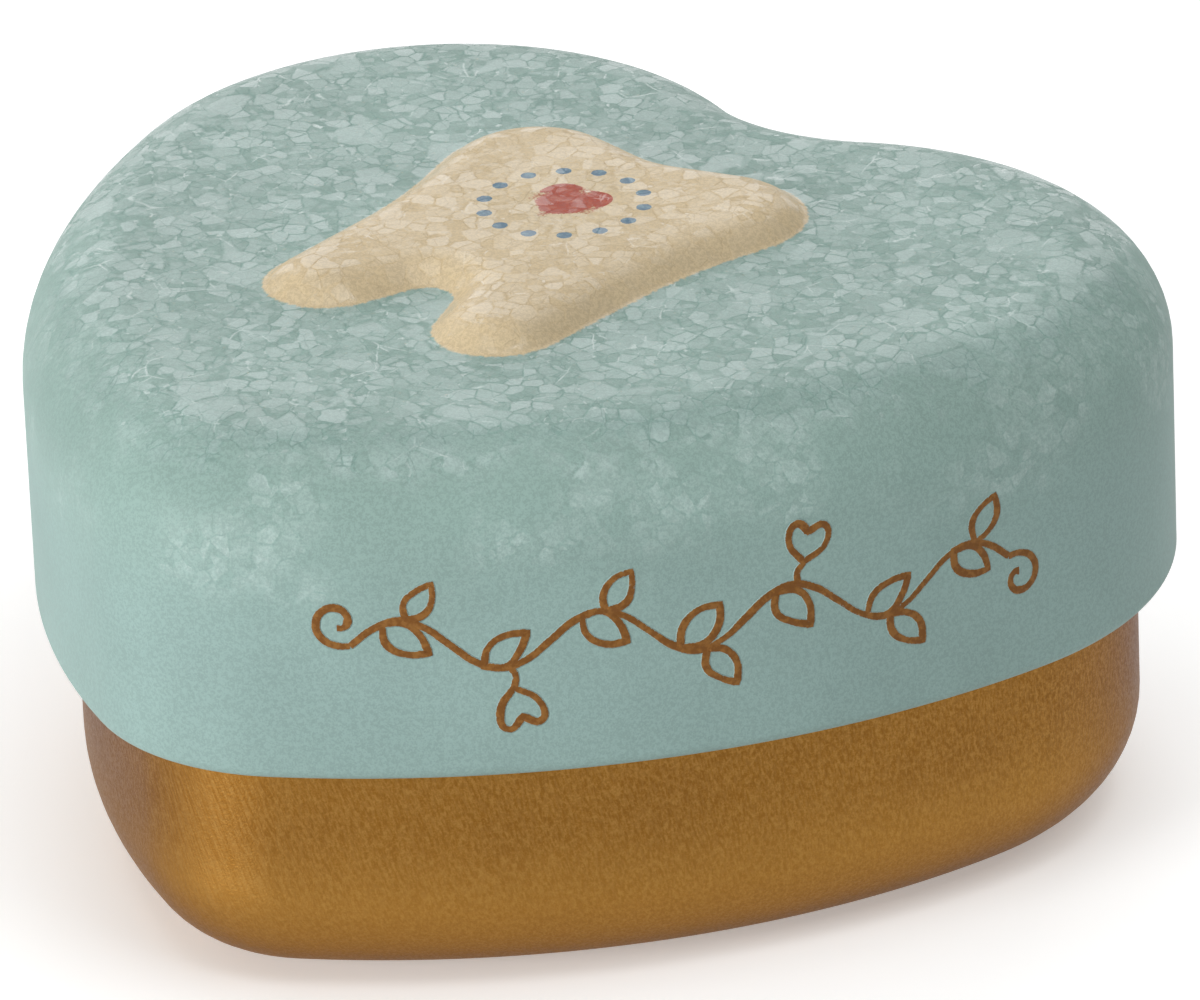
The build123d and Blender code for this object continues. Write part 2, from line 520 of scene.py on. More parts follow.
def draw_leaf(root, lean, size):
    """An open leaf, turned and sized a little by lot."""
    lean += hand.uniform(-lean_slip, lean_slip)
    size *= hand.uniform(1 - size_slip, 1 + size_slip)
    stroke(turned_shape(root, lean, size, leaf_shape), corners=(0, 3), closed=True)


def draw_heart(root, lean, size):
    """A small open heart on a bent stalk."""
    stalk = [(0, 0), (0.25, 0.1), (0.5, 0)]
    knots = turned_shape(root, lean, size, stalk)
    stroke(knots)
    stroke(turned_shape(knots[-1], lean, size, heart_shape), corners=(0, 3), closed=True)


def draw_curl(root, facing, side):
    """The curl at an end of the stem. facing is -1 to the left and 1 to the right, and side is 1 for up."""
    middle = root + Vector((facing * curl_aside, side * curl_radius))
    knots = [root]
    for step in range(9):
        turn = radians(-90 + 45 * step)
        reach = curl_radius - curl_tightening * step
        knots.append(middle + reach * Vector((facing * cos(turn), side * sin(turn))))
    stroke(knots)


print("the vine ends", [round(c, 1) for c in stem_place(quarters)], "mm along and up the skirt")

# %% Draw the vine
stroke([stem_place(half / 2) for half in range(2 * quarters + 1)])
for quarter in range(1, quarters, 2):
    side = 1 if quarter % 4 == 1 else -1
    hollow = stem_place(quarter + hollow_shift)
    draw_leaf(hollow, -side * hollow_leaf_lean, hollow_leaf_size)
    wave_crest = stem_place(quarter + crest_shift)
    if quarter % 6 == 3:
        draw_heart(wave_crest, side * heart_lean, stalk_size)
    else:
        draw_leaf(wave_crest, side * crest_leaf_lean, crest_leaf_size)
draw_curl(stem_place(0), -1, 1)
draw_curl(stem_place(quarters), 1, -1)
print("the vine is drawn in", len(vine.data.splines), "strokes")

# %% [markdown]
# ## From the page to the skirt
#
# The strokes are round tubes so far. As a mesh, they are pressed flat to the thickness of ink. Before that,
# each point's distance from the page says how near the middle of the line it is, and that is kept as an
# attribute, because ink thins out and breaks up towards the edges of a line. A Simple Deform modifier then
# rolls the page to the skirt's own radius.

# %% Press the vine flat
ink_thickness = 0.03
select_only(vine)
bpy.ops.object.convert(target="MESH")

ink = vine.data.attributes.new("ink", "FLOAT", "POINT")
for vertex, entry in zip(vine.data.vertices, ink.data):
    entry.value = min(1.0, abs(vertex.co.y) / (pen_radius * mm))
vine.scale.y = ink_thickness / pen_radius
bpy.ops.object.transform_apply(location=True, rotation=True, scale=True)

page = vine.dimensions.x
print("the page is", round(page / mm, 1), "mm wide")

# %% Roll the page to the skirt
skirt_middle = (side_to_lobe + side_to_tip) / 2 % (2 * pi) - 2 * pi
bend = vine.modifiers.new("Bend", "SIMPLE_DEFORM")
bend.deform_method = "BEND"
bend.deform_axis = "Z"
bend.angle = page / side_radius
bpy.ops.object.modifier_apply(modifier=bend.name)

vine.rotation_euler.z = skirt_middle + pi / 2
vine.location = side_centre + side_radius * Vector((cos(skirt_middle), sin(skirt_middle), 0))
bpy.ops.object.transform_apply(location=True, rotation=True, scale=True)
bpy.ops.object.mode_set(mode="EDIT")
bpy.ops.mesh.select_all(action="SELECT")
bpy.ops.mesh.normals_make_consistent(inside=False)
bpy.ops.object.mode_set(mode="OBJECT")
bpy.ops.object.shade_smooth()

reach = [(vertex.co.xy - side_centre.xy).length - side_radius for vertex in vine.data.vertices]
print("the middle of the page faces", round(degrees(skirt_middle), 1), "degrees")
print("ink stands", round(min(reach) / mm, 3), "to", round(max(reach) / mm, 3), "mm off the skirt")
print("the vine has", len(vine.data.polygons), "faces")

# %% [markdown]
# ## Tools for finishes
#
# A finish is a small tree of nodes. Short helpers keep it readable: one turns a colour's code into the
# numbers that Blender mixes, one adds a node and plugs its inputs in, and the others are built on that one.

# %% Colours, nodes and sums
def colour(code):
    """A colour from its six-figure code, as the linear values that Blender mixes."""
    shares = [int(code[i : i + 2], 16) / 255 for i in (0, 2, 4)]
    linear = [share / 12.92 if share <= 0.04045 else ((share + 0.055) / 1.055) ** 2.4 for share in shares]
    return (*linear, 1.0)


def add(tree, kind, inputs=(), **options):
    """Adds a node, sets its options, and fills its inputs with values or with other nodes' outputs."""
    node = tree.nodes.new("ShaderNode" + kind)
    for name, value in options.items():
        setattr(node, name, value)
    for name, value in dict(inputs).items():
        if isinstance(value, bpy.types.NodeSocket):
            tree.links.new(value, node.inputs[name])
        else:
            node.inputs[name].default_value = value
    return node


def combine(tree, operation, first, second):
    """The output of a Math node."""
    return add(tree, "Math", {0: first, 1: second}, operation=operation).outputs[0]


def plus(tree, first, second):
    """The sum of two values."""
    return combine(tree, "ADD", first, second)


def minus(tree, first, second):
    """The first value less the second one."""
    return combine(tree, "SUBTRACT", first, second)


def times(tree, first, second):
    """The product of two values."""
    return combine(tree, "MULTIPLY", first, second)


def combine_vectors(tree, operation, first, second):
    """The output of a Vector Math node."""
    return add(tree, "VectorMath", {0: first, 1: second}, operation=operation).outputs["Vector"]


print("8FAFA3 in linear light is", [round(share, 3) for share in colour("8FAFA3")[:3]])

# %% Eases, blends and noise
def ease(tree, value, low, high, start=0.0, end=1.0):
    """Maps a value smoothly from one range to another."""
    inputs = {"Value": value, "From Min": low, "From Max": high, "To Min": start, "To Max": end}
    return add(tree, "MapRange", inputs, interpolation_type="SMOOTHSTEP").outputs["Result"]


def blend(tree, share, first, second, mode="MIX"):
    """Mixes two colours by a share."""
    node = add(tree, "Mix", data_type="RGBA", blend_type=mode)
    for socket, value in (("Factor_Float", share), ("A_Color", first), ("B_Color", second)):
        target = next(entry for entry in node.inputs if entry.identifier == socket)
        if isinstance(value, bpy.types.NodeSocket):
            tree.links.new(value, target)
        else:
            target.default_value = value
    return next(entry for entry in node.outputs if entry.identifier == "Result_Color")


def noise(tree, vector, size, detail=2.0, roughness=0.5):
    """Cloudy noise whose lumps are about so many millimetres across, from about 0.3 to 0.7."""
    inputs = {"Vector": vector, "Scale": 1 / size, "Detail": detail, "Roughness": roughness}
    return add(tree, "TexNoise", inputs).outputs["Fac"]


print("helpers for patterns: ease, blend and noise")

# %% Groups and materials
def new_group(name, inputs, outputs):
    """A node group with named sockets. Returns the group, its input node and its output node."""
    group = bpy.data.node_groups.new(name, "ShaderNodeTree")
    for title, kind in inputs.items():
        group.interface.new_socket(title, in_out="INPUT", socket_type=kind)
    for title, kind in outputs.items():
        group.interface.new_socket(title, in_out="OUTPUT", socket_type=kind)
    return group, group.nodes.new("NodeGroupInput"), group.nodes.new("NodeGroupOutput")


def place_group(tree, group, **inputs):
    """Puts a group into a material with its own values."""
    node = tree.nodes.new("ShaderNodeGroup")
    node.node_tree = group
    for name, value in inputs.items():
        if isinstance(value, bpy.types.NodeSocket):
            tree.links.new(value, node.inputs[name])
        else:
            node.inputs[name].default_value = value
    return node.outputs


def new_material(name):
    """An empty material. Returns it, its tree and the object's own coordinates in millimetres."""
    material = bpy.data.materials.new(name)
    material.use_nodes = True
    tree = material.node_tree
    tree.nodes.clear()
    own = add(tree, "TexCoord").outputs["Object"]
    return material, tree, combine_vectors(tree, "MULTIPLY", own, (1000, 1000, 1000))


def finish_material(tree, height, depth, **shader_inputs):
    """Adds the bump and the shader. depth is the real depth of a height of 1."""
    bump = add(tree, "Bump", {"Height": height, "Distance": depth, "Strength": 1.0})
    inputs = {name.replace("_", " "): value for name, value in shader_inputs.items()}
    inputs["Normal"] = bump.outputs["Normal"]
    shader = add(tree, "BsdfPrincipled", inputs)
    output = add(tree, "OutputMaterial")
    tree.links.new(shader.outputs["BSDF"], output.inputs["Surface"])


FLOAT = "NodeSocketFloat"
VECTOR = "NodeSocketVector"
print("a group's sockets are", FLOAT, "or", VECTOR)

# %% [markdown]
# ## Grain
#
# Sprayed and printed paint is never quite even. Under a lens it has a fine grain, broader clouds in its
# tone, and a soft orange peel that only shows in the way the light breaks. Every finish here shares it.

# %% The grain group
grain, group_in, group_out = new_group(
    "grain", {"Vector": VECTOR}, {"Speckle": FLOAT, "Clouds": FLOAT, "Peel": FLOAT}
)
place = group_in.outputs["Vector"]
speckle = plus(grain, noise(grain, place, 0.09, 1.0), noise(grain, place, 0.22, 1.0))
grain.links.new(ease(grain, speckle, 0.7, 1.3), group_out.inputs["Speckle"])
grain.links.new(ease(grain, noise(grain, place, 7.0, 3.0), 0.3, 0.7), group_out.inputs["Clouds"])
grain.links.new(noise(grain, place, 0.7, 2.0), group_out.inputs["Peel"])
print("grain group has", len(grain.nodes), "nodes")

# %% [markdown]
# ## Crackle
#
# The panel's varnish has crackled into soft angular flakes, from half a millimetre to two across. Each has
# a tone of its own, thin dark lines part some of them, and here and there a lifted edge catches the light as
# a short pale tick. Voronoi cells are flakes of that kind: each cell has its own random number, and the
# distance to its edge gives the lines. Three sizes of cells, bent a little by noise, keep it from looking
# like a honeycomb.

# %% The crackle group and its bent places
crackle, group_in, group_out = new_group(
    "crackle", {"Vector": VECTOR, "Size": FLOAT}, {"Flakes": FLOAT, "Cracks": FLOAT, "Pale Ticks": FLOAT}
)
wobble_lumps = 1.25
wobble_reach = 0.4
large_crack_width = 0.03
middle_crack_width = 0.06
tick_width = 0.07
long_line_width = 0.02
long_line_scale = 0.33

place = group_in.outputs["Vector"]
wobble_inputs = {"Vector": place, "Scale": 1 / wobble_lumps, "Detail": 2.0}
wobble = add(crackle, "TexNoise", wobble_inputs).outputs["Color"]
push = combine_vectors(crackle, "SUBTRACT", wobble, (0.5, 0.5, 0.5))
push = combine_vectors(crackle, "MULTIPLY", push, (wobble_reach, wobble_reach, wobble_reach))
bent = combine_vectors(crackle, "ADD", place, push)
print("the cells are bent by up to", wobble_reach / 2, "mm")

# %% Flakes of three sizes
def cells(share, lit_from, brightest):
    """Flakes of one size: their own tones, and how far each point is from the nearest flake's edge.

    Each flake draws a number from 0 to 1. Above lit_from it is lit, up to the brightest at 1.
    """
    scale = combine(crackle, "DIVIDE", 1 / share, group_in.outputs["Size"])
    inputs = {"Vector": bent, "Scale": scale}
    own_number = add(crackle, "TexVoronoi", inputs).outputs["Color"]
    own_number = add(crackle, "SeparateColor", {"Color": own_number}).outputs["Red"]
    edge = add(crackle, "TexVoronoi", inputs, feature="DISTANCE_TO_EDGE").outputs["Distance"]
    lit = ease(crackle, own_number, lit_from, 1.0, 0.0, brightest)
    inside_edge = ease(crackle, edge, 0.01, 0.09)
    return times(crackle, lit, inside_edge), edge


large_flake, large_edge = cells(share=1.0, lit_from=0.7, brightest=0.75)
middle_flake, middle_edge = cells(share=0.5, lit_from=0.1, brightest=0.85)
small_flake, _ = cells(share=0.25, lit_from=0.2, brightest=0.55)
flakes = combine(crackle, "MAXIMUM", large_flake, middle_flake)
flakes = combine(crackle, "MAXIMUM", flakes, small_flake)
crackle.links.new(flakes, group_out.inputs["Flakes"])
print("the flakes take", len(crackle.nodes), "nodes")

# %% Cracks and pale ticks
patchy = ease(crackle, noise(crackle, place, 1.4, 2.0), 0.34, 0.54)
large_crack = ease(crackle, large_edge, large_crack_width, 0.0)
middle_crack = ease(crackle, middle_edge, middle_crack_width, 0.0)
crack = combine(crackle, "MAXIMUM", large_crack, middle_crack)
crackle.links.new(times(crackle, crack, patchy), group_out.inputs["Cracks"])

lifted = ease(crackle, noise(crackle, place, 0.6, 1.0), 0.6, 0.68)
ticks = times(crackle, ease(crackle, middle_edge, tick_width, 0.0), lifted)
long_inputs = {"Vector": bent, "Scale": long_line_scale}
long_edge = add(crackle, "TexVoronoi", long_inputs, feature="DISTANCE_TO_EDGE").outputs["Distance"]
elsewhere = ease(crackle, noise(crackle, place, 2.4, 2.0), 0.56, 0.66)
long_lines = times(crackle, ease(crackle, long_edge, long_line_width, 0.0), elsewhere)
pale = combine(crackle, "MAXIMUM", ticks, long_lines)
crackle.links.new(pale, group_out.inputs["Pale Ticks"])
print("crackle group has", len(crackle.nodes), "nodes")

# %% [markdown]
# ## The lid's paint
#
# The whole lid is painted a plain matt mint, and a clear varnish that has crackled lies over its panel. A
# flake mirrors a bright room, as on the flat panel seen from low down, so the crackle goes into the coat's
# weight. It goes into the colour too: the flakes are painted a little paler than the mint, partly as their
# own tone and partly as a painted reflection of that room. The crackle ends in a ragged line along the
# shoulder, lower down on the left lobe. Below that, in patches, some flakes are painted pale as a painted
# highlight of a lamp mirrored in them. The tooth is printed cream over its embossing, and the print stops
# where the embossing starts to rise, so the height above the panel tells the two apart.

# %% The lid's colours and levels
mint_skirt = colour("8FA9A4")
mint_panel = colour("8CA69E")
# Partly the flakes' own paler tone, partly a painted reflection of a bright room
mint_flake_and_reflection = colour("A8BEBB")
mint_crack = colour("78978F")
# A painted highlight: the pale of a lamp's glint in the flakes and in the ticks
mint_glint = colour("C3D5D1")
cream_ground = colour("CDB995")
# Partly the cream flakes' own paler tone, partly a painted reflection of a bright room
cream_flake_and_reflection = colour("DDCFB4")
cream_crack = colour("B39D76")

panel_level = panel / mm
shoulder_end = (panel - shoulder_radius) / mm
skirt_level = (panel - 2 * shoulder_radius) / mm
flake_size = 2.0
flake_and_reflection_strength = 0.48
crack_strength = 0.6
tick_strength = 0.45
# How strong the painted highlights below the crackle are
glint_flake_strength = 0.28
glint_speck_strength = 0.35
cream_flake_and_reflection_strength = 0.3
cream_line_strength = 0.4
crackle_fade = 2.0
lobe_drop = 4.0
print_start = 0.05
print("the tooth's print starts", print_start, "mm above the panel")

# %% Where the crackle, the tooth's print and the rubbed patches lie
lid_paint, tree, place = new_material("mint_and_cream_paint")
across, along, height = add(tree, "SeparateXYZ", {"Vector": place}).outputs
grains = place_group(tree, grain, Vector=place)
flecks = place_group(tree, crackle, Vector=place, Size=flake_size)

# The crackle is full on the panel and ends soon below it, but on the left lobe it runs further down
ragged = ease(tree, noise(tree, place, 2.0, 3.0), 0.3, 0.7, -0.8, 0.8)
ragged_height = plus(tree, height, ragged)
left_lobe = ease(tree, across, -20.0, -28.0, 0.0, lobe_drop)
reached = plus(tree, ragged_height, left_lobe)
coated = ease(tree, reached, panel_level - crackle_fade, panel_level - 0.2, 0.03, 1.0)
flake_share = times(tree, flecks["Flakes"], coated)
crack_share = times(tree, flecks["Cracks"], times(tree, coated, coated))
pale_share = times(tree, flecks["Pale Ticks"], coated)
panel_share = ease(tree, height, skirt_level, panel_level)

# The tooth's print ends just above the panel, in a grainy edge
edge_grain = times(tree, noise(tree, place, 0.25, 2.0), 0.08)
grainy_height = plus(tree, height, edge_grain)
print_level = panel_level + print_start
on_tooth = ease(tree, grainy_height, print_level, print_level + 0.04)

# Painted highlights round the shoulder: patches in which flakes are painted pale, and grainy glints inside
# these
patches = ease(tree, ragged_height, shoulder_end - 2.2, shoulder_end + 0.6)
patches = times(tree, patches, ease(tree, noise(tree, place, 8.0, 2.0), 0.48, 0.64))
patches = times(tree, patches, minus(tree, 1.0, coated))
glinting_flakes = times(tree, patches, flecks["Flakes"])
glint_grain = ease(tree, noise(tree, place, 0.8, 4.0, 0.7), 0.48, 0.62)
glint_specks = times(tree, glinting_flakes, glint_grain)
print("the masks take", len(tree.nodes), "nodes")

# %% Mix the mint and the cream
mint = blend(tree, panel_share, mint_skirt, mint_panel)
# The flakes are painted paler: partly their own tone, partly a painted reflection
mint = blend(tree, times(tree, flake_share, flake_and_reflection_strength), mint, mint_flake_and_reflection)
# Painted highlights: flakes and specks below the crackle, painted pale as glints of a lamp
mint = blend(tree, times(tree, glinting_flakes, glint_flake_strength), mint, mint_glint)
mint = blend(tree, times(tree, glint_specks, glint_speck_strength), mint, mint_glint)
mint = blend(tree, times(tree, crack_share, crack_strength), mint, mint_crack)
# The pale ticks are painted glints on lifted edges
mint = blend(tree, times(tree, pale_share, tick_strength), mint, mint_glint)

# The cream's crackle, partly painted reflection, is faint on the embossing's wall and full on its crest
crest_share = ease(tree, height, panel_level + 0.5, crest / mm, 0.3, 1.0)
cream_flakes = times(tree, times(tree, flecks["Flakes"], crest_share), cream_flake_and_reflection_strength)
cream_cracks = times(tree, times(tree, flecks["Cracks"], crest_share), cream_line_strength)
cream_ticks = times(tree, times(tree, flecks["Pale Ticks"], crest_share), cream_line_strength)
cream = blend(tree, cream_flakes, cream_ground, cream_flake_and_reflection)
cream = blend(tree, cream_cracks, cream, cream_crack)
# The cream's pale ticks are painted glints too
cream = blend(tree, cream_ticks, cream, cream_flake_and_reflection)
print("with both colours there are", len(tree.nodes), "nodes")

# %% [markdown]
# ## The print on the tooth
#
# A small coral heart in a ring of blue dots is printed in the middle of the tooth. Ink has no thickness that
# the eye could see, so both are masks in the tooth's paint and not pieces. The heart is the well known curve
# of which the inside has (x² + y² - 1)³ below x² y³. The ring is one dot, whose direction from the middle is
# snapped to the nearest of fourteen. Grain roughens the edges of both.

# %% The inks and sizes of the print
coral_ink = colour("A33A26")
coral_thin = colour("AE523E")
blue_ink = colour("4C7189")
blue_thin = colour("6A8C9C")
print_middle = 5.0
heart_size = 1.75
ring_radius = 4.1
dot_radius = 0.4
dot_count = 14
dot_step = 2 * pi / dot_count
ink_cover = 0.95
print("the ring has", dot_count, "dots")

# %% The heart
ink_grain = noise(tree, place, 0.16, 2.0, 0.6)
from_middle = minus(tree, along, print_middle)
x = combine(tree, "DIVIDE", across, heart_size)
y = combine(tree, "DIVIDE", from_middle, heart_size)
x_squared = times(tree, x, x)
y_squared = times(tree, y, y)
ball = minus(tree, plus(tree, x_squared, y_squared), 1.0)
left_side = times(tree, times(tree, ball, ball), ball)
right_side = times(tree, times(tree, x_squared, y_squared), y)
outside = minus(tree, left_side, right_side)
rough_outside = plus(tree, outside, times(tree, ink_grain, 0.2))
on_heart = ease(tree, rough_outside, 0.13, 0.06)
print("the heart's curve is drawn", heart_size, "mm to the unit")

# %% The ring of dots, and the ink of both
direction = combine(tree, "ARCTAN2", from_middle, across)
snapped = combine(tree, "SNAP", plus(tree, direction, dot_step / 2), dot_step)
dot_across = times(tree, combine(tree, "COSINE", snapped, 0.0), ring_radius)
dot_along = times(tree, combine(tree, "SINE", snapped, 0.0), ring_radius)
aside = minus(tree, across, dot_across)
forth = minus(tree, from_middle, dot_along)
aside_squared = times(tree, aside, aside)
apart = plus(tree, aside_squared, times(tree, forth, forth))
rough_apart = plus(tree, apart, times(tree, ink_grain, 0.08))
on_dot = ease(tree, rough_apart, dot_radius**2 + 0.05, dot_radius**2 + 0.02)

thin = ease(tree, noise(tree, place, 0.5, 3.0, 0.6), 0.5, 0.62)
coral = blend(tree, thin, coral_ink, coral_thin)
blue = blend(tree, thin, blue_ink, blue_thin)
cream = blend(tree, times(tree, on_heart, ink_cover), cream, coral)
cream = blend(tree, times(tree, on_dot, ink_cover), cream, blue)
print("the dots lie", round(ring_radius * dot_step, 2), "mm apart")

# %% [markdown]
# ## Grain, gloss and relief of the lid's paint
#
# The grain makes the paint's tone and its gloss uneven. The flakes stand a little proud and are glossier,
# and the cracks between them are sunk, all by about a hundredth of a millimetre.

# %% Finish the lid's paint
darkest_speckle = 0.9
palest_speckle = 1.06
cloud_depth = 0.03
flake_gloss = 0.75
paint_relief = 0.02 * mm

paint = blend(tree, on_tooth, mint, cream)
shade = ease(tree, grains["Speckle"], 0.0, 1.0, darkest_speckle, palest_speckle)
clouds = ease(tree, grains["Clouds"], 0.0, 1.0, 1 - cloud_depth, 1 + cloud_depth)
tone = times(tree, shade, clouds)
tone_colour = add(tree, "CombineColor", {"Red": tone, "Green": tone, "Blue": tone}).outputs["Color"]
paint = blend(tree, 1.0, paint, tone_colour, "MULTIPLY")

gloss = combine(tree, "MAXIMUM", times(tree, flake_share, flake_gloss), pale_share)
relief = plus(tree, grains["Peel"], times(tree, grains["Speckle"], 0.25))
relief = plus(tree, relief, times(tree, flake_share, 0.3))
relief = minus(tree, relief, times(tree, crack_share, 0.4))
dullness = ease(tree, grains["Speckle"], 0.0, 1.0, 0.5, 0.62)
finish_material(
    tree,
    relief,
    paint_relief,
    Base_Color=paint,
    Roughness=dullness,
    Specular_IOR_Level=0.2,
    Coat_Weight=gloss,
    Coat_IOR=1.7,
    Coat_Roughness=0.2,
)
print("lid paint has", len(tree.nodes), "nodes")

# %% [markdown]
# ## The vine's ink
#
# The vine is printed in a matt brown gold that sinks into the mint. Along the edges of each line the ink
# breaks up into specks with the mint between them, and it is a little thinner in some places than in others.

# %% The ink material
ink_dark = colour("744816")
ink_light = colour("8A5D28")
vine_ink, tree, place = new_material("brown_gold_ink")
grains = place_group(tree, grain, Vector=place)
near_middle = add(tree, "Attribute", attribute_name="ink").outputs["Fac"]
specks = noise(tree, place, 0.11, 2.0, 0.6)
body = plus(tree, near_middle, times(tree, specks, 0.9))
covered = ease(tree, body, 0.78, 1.08)
thin = ease(tree, noise(tree, place, 0.35, 3.0, 0.6), 0.42, 0.64)
inked = blend(tree, thin, ink_dark, ink_light)
inked = blend(tree, covered, mint_skirt, inked)
dullness = ease(tree, grains["Speckle"], 0.0, 1.0, 0.5, 0.65)
finish_material(
    tree, grains["Peel"], paint_relief, Base_Color=inked, Roughness=dullness, Specular_IOR_Level=0.25
)
print("ink has", len(tree.nodes), "nodes")

# %% [markdown]
# ## Gold lacquer
#
# The base is lacquered a deep antique gold over brushed metal. The lacquer is translucent, so its colour
# deepens in clouds. Down where the wall turns into the floor it is painted paler and warmer, a painted
# reflection of the bright floor. Fine brush lines, leaning from upright, break the highlights. Where the tin
# stands, the lacquer is worn paler.

# %% The gold's colours and strengths
gold_deep = colour("744C20")
gold_mid = colour("8C6127")
# Painted reflection of the bright floor, for the low part of the wall
gold_floor_reflection = colour("B88A43")
gold_pale = colour("BD9557")
brush_lean = radians(22)
brush_width = 0.13
brush_strength = 0.2
cloud_strength = 0.3
dark_speckle_strength = 0.16
pale_speckle_strength = 0.15
# How strong the painted floor reflection is
floor_reflection_strength = 0.3
foot_wear_strength = 0.4
gold_relief = 0.006 * mm
print("the brush lines lean", round(degrees(brush_lean)), "degrees from upright")

# %% The gold material
gold_paint, tree, place = new_material("gold_lacquer")
grains = place_group(tree, grain, Vector=place)
height = add(tree, "SeparateXYZ", {"Vector": place}).outputs["Z"]
leaning = add(tree, "VectorRotate", {"Vector": place, "Angle": brush_lean}, rotation_type="Y_AXIS")
strokes = combine_vectors(tree, "MULTIPLY", leaning.outputs["Vector"], (1, 1, 0.05))
brushing = ease(tree, noise(tree, strokes, brush_width, 2.0, 0.5), 0.35, 0.65)
clouds = times(tree, grains["Clouds"], cloud_strength)
dark_speckle = ease(tree, grains["Speckle"], 0.5, 1.0, 0.0, dark_speckle_strength)
pale_speckle = ease(tree, grains["Speckle"], 0.4, 0.0, 0.0, pale_speckle_strength)
# Painted reflection: the wall is painted paler and warmer towards the floor
painted_floor_reflection = ease(tree, height, 9.5, 4.5, 0.0, floor_reflection_strength)
foot_wear = times(tree, ease(tree, height, 0.25, 0.0), foot_wear_strength)
gold = blend(tree, clouds, gold_mid, gold_deep)
gold = blend(tree, times(tree, brushing, brush_strength), gold, gold_pale)
gold = blend(tree, dark_speckle, gold, gold_deep)
gold = blend(tree, pale_speckle, gold, gold_pale)
gold = blend(tree, painted_floor_reflection, gold, gold_floor_reflection)
gold = blend(tree, foot_wear, gold, gold_pale)
relief = plus(tree, times(tree, brushing, 0.5), grains["Speckle"])
relief = plus(tree, relief, times(tree, grains["Peel"], 0.3))
dullness = ease(tree, grains["Speckle"], 0.0, 1.0, 0.38, 0.5)
finish_material(
    tree,
    relief,
    gold_relief,
    Base_Color=gold,
    Roughness=dullness,
    Metallic=1.0,
    Specular_Tint=colour("D0D2E0"),
    Anisotropic=0.3,
    Anisotropic_Rotation=0.25,
)
print("gold lacquer has", len(tree.nodes), "nodes")

# %% [markdown]
# ## Bare tinplate
#
# Inside, the sheet is plain tinplate under a clear lacquer: grey and bright, with the faint roll lines and
# the soft spangle of tinned steel.

# %% The tinplate material
tin_dark = colour("ABA9A3")
tin_light = colour("D2D0CA")
roll_line_strength = 0.6
spangle_strength = 0.3
tin_relief = 0.003 * mm

tinplate, tree, place = new_material("tinplate")
grains = place_group(tree, grain, Vector=place)
rolled = combine_vectors(tree, "MULTIPLY", place, (0.04, 1, 1))
roll_lines = ease(tree, noise(tree, rolled, 0.35, 3.0, 0.6), 0.3, 0.7)
spangle = add(tree, "TexVoronoi", {"Vector": place, "Scale": 0.4}).outputs["Color"]
spangle = add(tree, "SeparateColor", {"Color": spangle}).outputs["Red"]
share = times(tree, roll_lines, roll_line_strength)
share = plus(tree, share, times(tree, spangle, spangle_strength))
tin = blend(tree, share, tin_dark, tin_light)
dullness = ease(tree, roll_lines, 0.0, 1.0, 0.34, 0.46)
relief = plus(tree, roll_lines, grains["Peel"])
finish_material(tree, relief, tin_relief, Base_Color=tin, Roughness=dullness, Metallic=0.85)
print("tinplate has", len(tree.nodes), "nodes")

# %% [markdown]
# ## Paint and frame
#
# Each sheet is painted outside and bare tinplate inside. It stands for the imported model's solid of its name
# and rides on that solid's body, so the lid lifts off with all that is printed on it.

# %% Paint the sheets and the vine
lid.data.materials[0] = lid_paint
base.data.materials[0] = gold_paint
for shell, node, finish in ((lid, "lid", "mint_paint"), (base, "base", "gold_lacquer")):
    shell.data.materials[1] = tinplate
    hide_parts(node)
    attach(shell, node)
    print(shell.name, "stands for", node)

vine.data.materials.append(vine_ink)
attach(vine, "lid")
print(vine.name, "rides on the lid")

# %% [markdown]
# ## Camera
#
# The photograph was taken from a little above and from the tin's right, with a long lens. The camera looks
# along its own -Z, so it is turned in three steps: rolled, tipped up from straight down, and swung round.

# %% The camera
aim = Vector((1.94, 4.5, 15.3)) * mm
camera_distance = 600 * mm
azimuth = radians(39.17)
elevation = radians(24.53)
roll = radians(-2.37)
focal_length = 356.1

camera_data = bpy.data.cameras.new("camera")
camera_data.sensor_width = 36
camera_data.lens = focal_length
camera = bpy.data.objects.new("camera", camera_data)
bpy.context.scene.collection.objects.link(camera)


def looking_at(aim, swing, rise, distance, roll=0.0):
    """Where something stands that faces the aim from so far away, in radians and metres."""
    turned = Matrix.Rotation(swing, 4, "Z") @ Matrix.Rotation(pi / 2 - rise, 4, "X")
    turned = turned @ Matrix.Rotation(roll, 4, "Z")
    return Matrix.Translation(aim) @ turned @ Matrix.Translation((0, 0, distance))


camera.matrix_world = looking_at(aim, azimuth, elevation, camera_distance, roll)
bpy.context.scene.camera = camera
print("camera at", [round(c / mm) for c in camera.matrix_world.translation], "mm")

# %% [markdown]
# ## Light and floor
#
# The tin stands in a plain white studio. A low key light from the left models the skirt, and a large one
# from behind is mirrored by the flakes on the panel. A rim light, a small fill from the right, a higher one
# above that and one overhead soften the shadows. The white floor keeps the tin's own soft shadow, and glows
# a little where it is seen, so that it runs on into a white background.

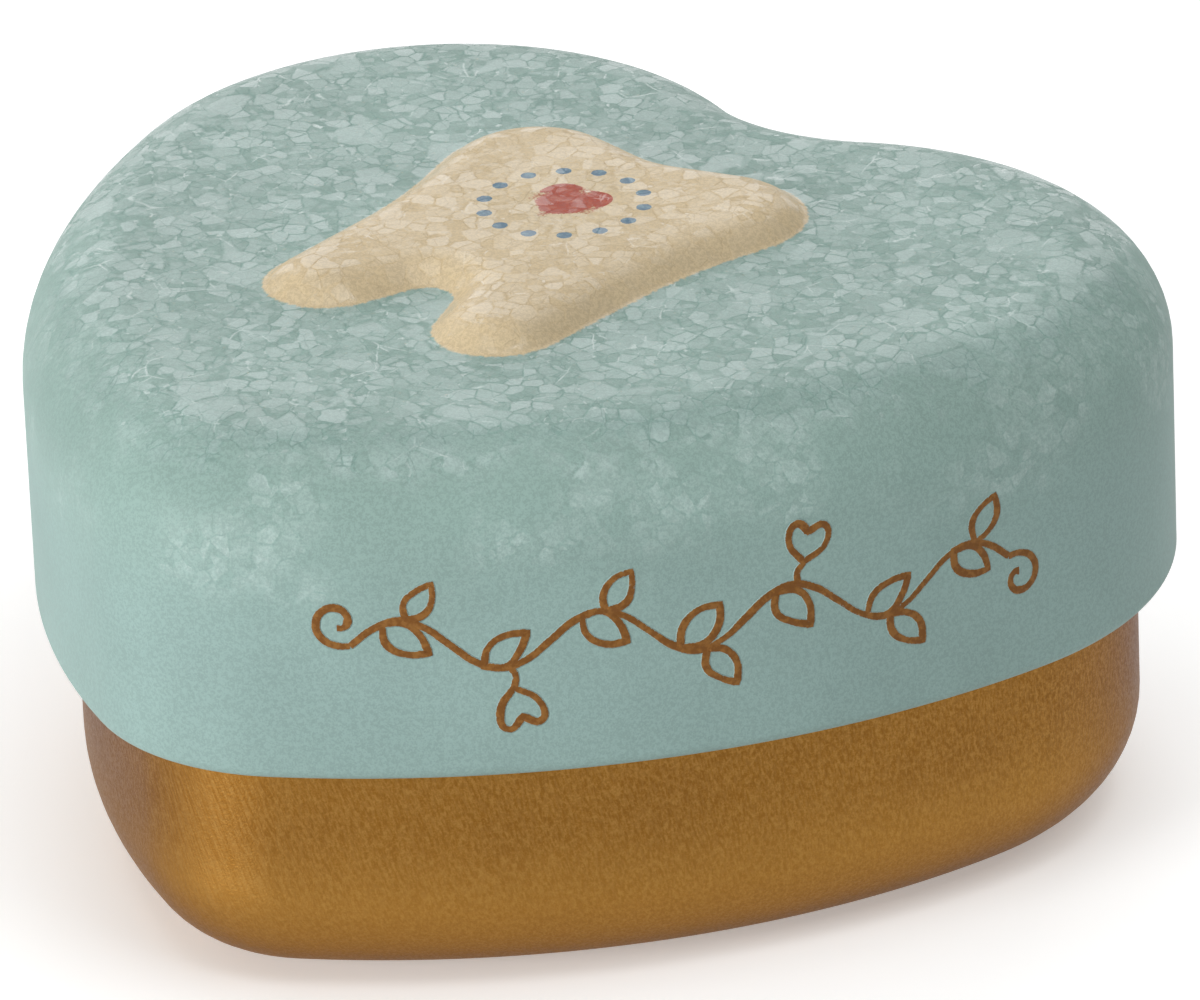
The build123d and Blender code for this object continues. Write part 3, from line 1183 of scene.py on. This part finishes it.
# %% The lights
def soft_light(name, swing, rise, distance, size, power):
    """A square soft light that faces the tin. swing is seen from the camera, and is above 0 to its right."""
    data = bpy.data.lights.new(name, "AREA")
    data.size = size
    data.energy = power
    light = bpy.data.objects.new(name, data)
    bpy.context.scene.collection.objects.link(light)
    light.matrix_world = looking_at(aim, azimuth + radians(swing), radians(rise), distance)
    print(name, "light of", power, "W")


soft_light("key", swing=-56, rise=9, distance=0.7, size=0.32, power=3.9)
soft_light("back", swing=180, rise=28, distance=0.9, size=0.9, power=3.3)
soft_light("rim", swing=-125, rise=22, distance=0.8, size=0.35, power=0.5)
soft_light("fill", swing=48, rise=12, distance=0.8, size=0.25, power=0.12)
soft_light("high fill", swing=50, rise=58, distance=0.8, size=0.5, power=1.5)
soft_light("top", swing=0, rise=80, distance=0.8, size=0.6, power=2.0)

sky_strength = 0.21
world = bpy.data.worlds.new("studio")
bpy.context.scene.world = world
world.use_nodes = True
tree = world.node_tree
tree.nodes.clear()
sky = add(tree, "Background", {"Color": (1, 1, 1, 1), "Strength": sky_strength})
add(tree, "OutputWorld", {"Surface": sky.outputs[0]})

# %% The floor, a hair below the foot so that the two never share a surface
floor_size = 6.0
floor_drop = 0.02 * mm
floor_white = (0.9, 0.9, 0.9, 1)
floor_glow = 0.31

bpy.ops.object.select_all(action="DESELECT")
bpy.ops.mesh.primitive_plane_add(size=floor_size, location=(0, 0, -floor_drop))
floor = bpy.context.object
floor.name = "floor"
floor_paint = bpy.data.materials.new("floor_white")
floor_paint.use_nodes = True
tree = floor_paint.node_tree
tree.nodes.clear()
matt = add(tree, "BsdfDiffuse", {"Color": floor_white})
glow = add(tree, "Emission", {"Color": (1, 1, 1, 1), "Strength": floor_glow})
path = add(tree, "LightPath")
seen = combine(tree, "MAXIMUM", path.outputs["Is Camera Ray"], path.outputs["Is Glossy Ray"])
seen = combine(tree, "MAXIMUM", seen, path.outputs["Is Transmission Ray"])
dark = add(tree, "Emission", {"Strength": 0.0})
lift = add(tree, "MixShader", {0: seen, 1: dark.outputs[0], 2: glow.outputs[0]})
both = add(tree, "AddShader", {0: matt.outputs[0], 1: lift.outputs[0]})
add(tree, "OutputMaterial", {"Surface": both.outputs[0]})
floor.data.materials.append(floor_paint)
print("the floor lies", round(floor_drop / mm, 3), "mm below the foot")

bpy.context.scene.view_settings.view_transform = "Standard"
